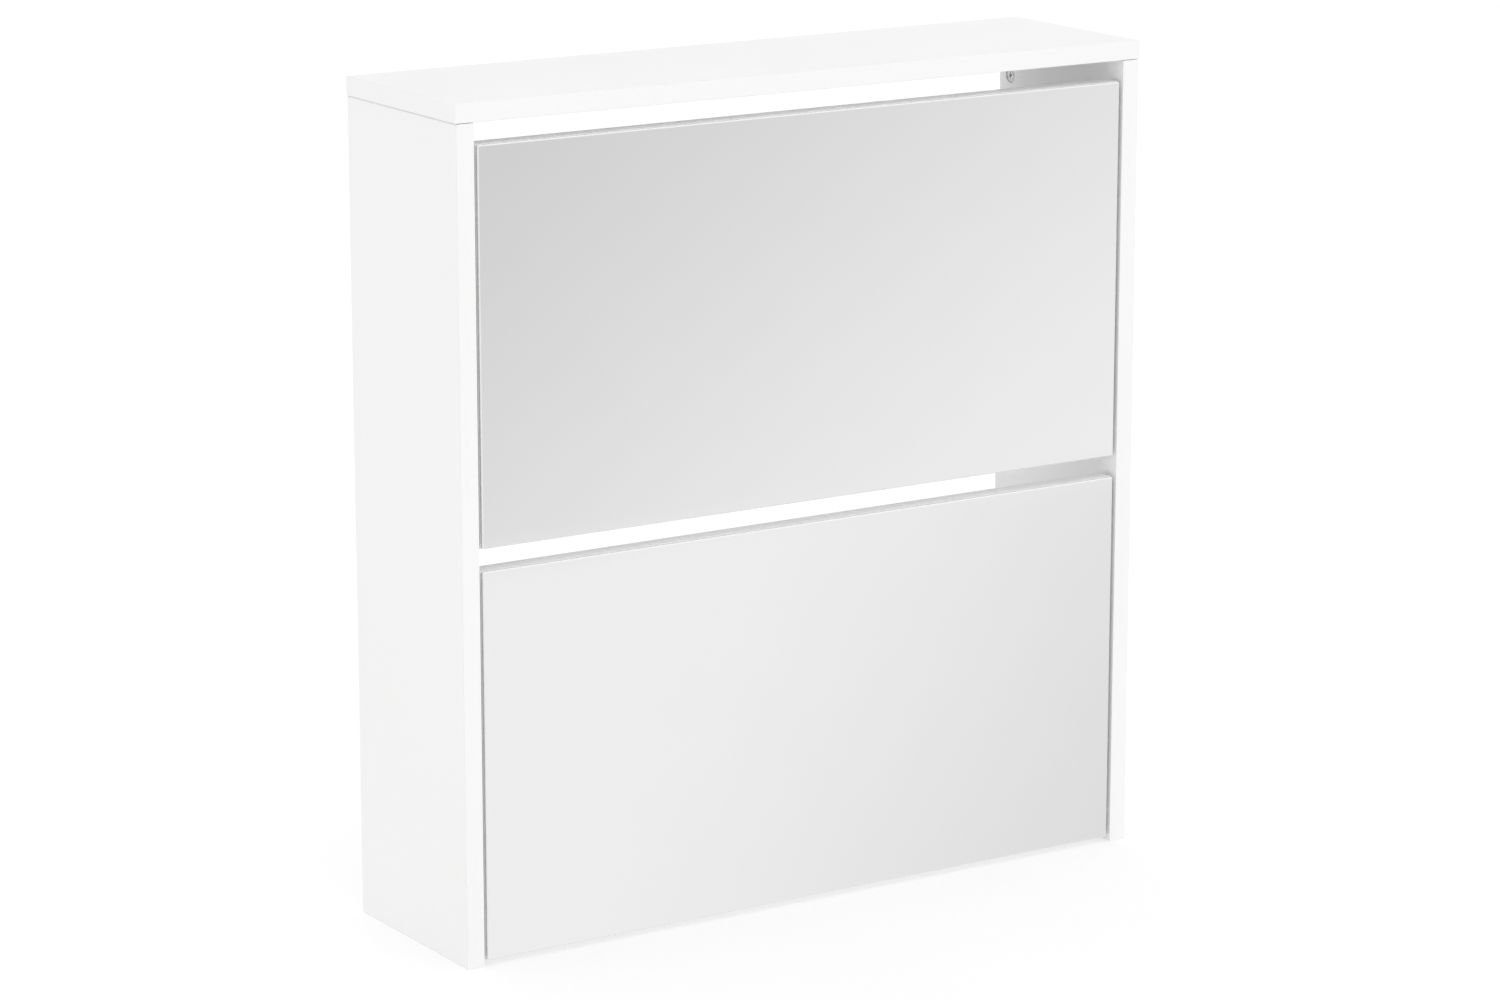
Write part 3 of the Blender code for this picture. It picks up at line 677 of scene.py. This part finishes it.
def cam_bolt(node, out):
    """A cam lock's bolt: a coarse thread, a collar, a waist and a rounded head."""
    tip, length = seat(node, out)
    end = -length
    profile = [
        (0, 0),
        (BOLT_RADIUS - 0.7 * MM, 0),
        (BOLT_RADIUS, -1 * MM),
        (BOLT_RADIUS, -BOLT_THREAD - 0.5 * MM),
        (BOLT_COLLAR, -BOLT_THREAD - 0.5 * MM),
        (BOLT_COLLAR, -BOLT_THREAD - 2.5 * MM),
        (BOLT_RADIUS, -BOLT_THREAD - 2.5 * MM),
        (BOLT_RADIUS, end + 7 * MM),
        (BOLT_NECK, end + 6 * MM),
        (BOLT_NECK, end + 3.5 * MM),
        (BOLT_HEAD, end + 2.5 * MM),
        (BOLT_HEAD, end + 1 * MM),
        (BOLT_NECK, end),
        (0, end),
    ]
    fine = divided(eased(profile), 0.3 * MM, -BOLT_THREAD, 0)
    ripple = thread(-BOLT_THREAD, 0, BOLT_NECK, BOLT_PITCH)
    return turned(f"{node}_detail", fine, tip, out, ripple, sides=36)


def dowel(node, out):
    """A fluted dowel with chamfered ends."""
    tip, length = seat(node, out)
    tight = DOWEL_CHAMFER * 1.01  # the flutes start at once behind the chamfer
    profile = [
        (0, 0),
        (DOWEL_RADIUS - DOWEL_CHAMFER, 0),
        (DOWEL_RADIUS, -DOWEL_CHAMFER),
        (DOWEL_RADIUS, -tight),
        (DOWEL_RADIUS, -length + tight),
        (DOWEL_RADIUS, -length + DOWEL_CHAMFER),
        (DOWEL_RADIUS - DOWEL_CHAMFER, -length),
        (0, -length),
    ]
    ripple = flutes(DOWEL_FLUTES, DOWEL_FLUTE_DEPTH, -length + DOWEL_CHAMFER, -DOWEL_CHAMFER)
    return turned(f"{node}_detail", profile, tip, out, ripple, sides=DOWEL_FLUTES * 8)


def pivot_pin(node, out):
    """A ground steel pin, knurled where it is pressed into the door."""
    tip, length = seat(node, out)
    knurled = -length + PIN_IN_DOOR - 4 * MM  # the knurl stops short of the door's end
    profile = [
        (0, 0),
        (PIN_RADIUS - PIN_CHAMFER, 0),
        (PIN_RADIUS, -PIN_CHAMFER),
        (PIN_RADIUS, knurled),
        (PIN_RADIUS, knurled - 0.3 * MM),
        (PIN_RADIUS, -length + 2 * MM),
        (PIN_RADIUS, -length + 1.7 * MM),
        (PIN_RADIUS, -length + PIN_CHAMFER),
        (PIN_RADIUS - PIN_CHAMFER, -length),
        (0, -length),
    ]
    ripple = flutes(PIN_KNURLS, PIN_KNURL_DEPTH, -length + 1.9 * MM, knurled - 0.1 * MM)
    return turned(f"{node}_detail", profile, tip, out, ripple, sides=PIN_KNURLS * 6)


def pivot_bush(node, out):
    """A flanged blind bush, its body ribbed so that it grips the panel."""
    face, length = seat(node, out)
    flange, flange_depth = BUSH_FLANGE
    profile = [
        (0, -length + BUSH_FLOOR),
        (BUSH_WELL, -length + BUSH_FLOOR),
        (BUSH_WELL, 0),
        (flange, 0),
        (flange, -flange_depth),
        (BUSH_BODY, -flange_depth),
        (BUSH_BODY, -length),
        (0, -length),
    ]

    def ripple(radius, height, angle):
        """Ribs on the outside of the body, behind the flange."""
        if radius <= BUSH_WELL + 1 * MM or height >= -flange_depth - 0.5 * MM:
            return radius
        return radius - BUSH_RIB_DEPTH * (0.5 - 0.5 * math.cos(BUSH_RIBS * angle))

    return turned(f"{node}_detail", eased(profile), face, out, ripple, sides=BUSH_RIBS * 8)


def stop_stud(node, out):
    """A nylon stud with a collar, a rounded tip and barbs on the shank that is pressed into the panel."""
    tip, length = seat(node, out)
    collar, collar_depth = STUD_COLLAR
    shank, shank_length = STUD_SHANK
    foot = -length
    shoulder = foot + shank_length
    core = shank - BARB_DEPTH
    barbs = []
    for number in range(4):
        crest = shoulder - (1 + number) * BARB_STEP
        barbs += [(core, crest + 0.3 * MM), (shank, crest), (core, crest - 1.5 * MM)]
    profile = [
        (0, 0),
        (STUD_RADIUS - STUD_TIP, 0),
        (STUD_RADIUS, -STUD_TIP),
        (STUD_RADIUS, shoulder + collar_depth),
        (collar, shoulder + collar_depth),
        (collar, shoulder),
        (core, shoulder),
        *barbs,
        (core, foot),
        (0, foot),
    ]
    return turned(f"{node}_detail", eased(profile, 0.3 * MM), tip, out)


def pan_screw(node, out):
    """A pan-head chipboard screw with a cross."""
    out = Vector(out)
    top, length = seat(node, out)
    tip, tip_length = SCREW_TIP
    dome = [(0, 0), (0.32, 0.04), (0.60, 0.16), (0.82, 0.38), (0.95, 0.66), (1, 0.92), (1, 1)]
    profile = [(SCREW_HEAD * across, -SCREW_DOME * down) for across, down in dome]
    profile += [
        (SCREW_RADIUS, -SCREW_DOME),
        (SCREW_RADIUS, -length + tip_length),
        (tip, -length),
        (0, -length),
    ]
    fine = divided(profile, 0.2 * MM, -length, -SCREW_DOME)
    ripple = thread(-length, -SCREW_DOME - 1 * MM, SCREW_ROOT, SCREW_PITCH)
    screw = turned(f"{node}_detail", fine, top, out, ripple, sides=24)
    along = out.orthogonal().normalized()
    carve(screw, cross_recess(top, out, along, SCREW_CROSS))
    return screw


# ---------------------------------------------------------------- the cabinet


def dress_cad_nodes(plastic):
    """Gives the CAD's own boards, mirrors and bins their materials and smooth shading."""
    rounding = rounding_group()
    thickness_axes = {"top_panel": 2, "side_panel_left": 0, "side_panel_right": 0}
    for level in FLAPS:
        thickness_axes[f"{level}_rail"] = 1
        thickness_axes[f"{level}_door_board"] = 1
    for node, axis in thickness_axes.items():
        dress(node, coated_board(node, axis), rounding)
    for level in FLAPS:
        dress(f"{level}_mirror", silvered_glass(f"{level}_mirror"), rounding)
        for board in ("bottom", "back"):
            dress(f"{level}_bin_{board}", painted_fibreboard(f"{level}_bin_{board}"), rounding)
        for side in SIDES:
            dress(f"{level}_bin_side_{side}", plastic, rounding, MOULDED_EDGE)


def dress(node, material, rounding, edge=0):
    """Gives a CAD node its material and smooth shading, and eases its edges if edge is given."""
    obj = NODES[node]
    obj.material_slots[0].material = material
    obj.modifiers.new("round_shading", "NODES").node_group = rounding
    if edge:
        merged = obj.modifiers.new("merged_faces", "DECIMATE")
        merged.decimate_type = "DISSOLVE"
        merged.angle_limit = FLAT_ANGLE
        bevel = obj.modifiers.new("eased_edges", "BEVEL")
        bevel.width = edge
        bevel.segments = 2
        bevel.limit_method = "ANGLE"
        bevel.angle_limit = SHARP_ANGLE
    flats = obj.modifiers.new("flat_faces", "WEIGHTED_NORMAL")
    flats.keep_sharp = True


def fit(piece, node, material):
    """Puts a finer piece in the place of a CAD node, on the same body and with the same finish."""
    paint(piece, material)
    piece.data.shade_smooth()
    piece.data.set_sharp_from_angle(angle=SHARP_ANGLE)
    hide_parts(node)
    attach(piece, BODY_OF[node])


def fit_carcass(zinc, steel, beech):
    """Fits the cam locks, bolts and dowels."""
    for side, sign in SIDES.items():
        inward, outward, up = (-sign, 0, 0), (sign, 0, 0), (0, 0, 1)
        for place in ("front", "back"):
            node = f"top_cam_{side}_{place}"
            fit(cam_lock(node, inward, up), node, zinc)
            node = f"top_bolt_{side}_{place}"
            fit(cam_bolt(node, up), node, steel)
        node = f"top_dowel_{side}"
        fit(dowel(node, up), node, beech[2])
        for level in FLAPS:
            node = f"{level}_rail_cam_{side}"
            fit(cam_lock(node, (0, 1, 0), outward), node, zinc)
            node = f"{level}_rail_bolt_{side}"
            fit(cam_bolt(node, outward), node, steel)
            node = f"{level}_rail_dowel_{side}"
            fit(dowel(node, outward), node, beech[0])


def fit_flaps(steel, plastic):
    """Fits the bushes and stop studs of each flap, its pins and its screws."""
    for level in FLAPS:
        for side, sign in SIDES.items():
            inward, outward = (-sign, 0, 0), (sign, 0, 0)
            node = f"{level}_pivot_bush_{side}"
            fit(pivot_bush(node, inward), node, plastic)
            node = f"{level}_stop_stud_{side}"
            fit(stop_stud(node, inward), node, plastic)
            node = f"{level}_pivot_pin_{side}"
            fit(pivot_pin(node, outward), node, steel)
            for number in (1, 2):
                node = f"{level}_bin_screw_{side}_{number}"
                fit(pan_screw(node, (0, 1, 0)), node, steel)


def main():
    """Makes the studio, dresses the CAD nodes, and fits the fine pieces."""
    bpy.context.scene.view_settings.view_transform = "Standard"
    make_camera()
    make_world()
    make_softbox()
    make_floor()
    plastic = moulded_plastic("nylon")
    steel = plated_steel()
    dress_cad_nodes(moulded_plastic("bin_plastic"))
    fit_carcass(cast_zinc(), steel, {axis: bare_beech(axis) for axis in (0, 2)})
    fit_flaps(steel, plastic)


main()
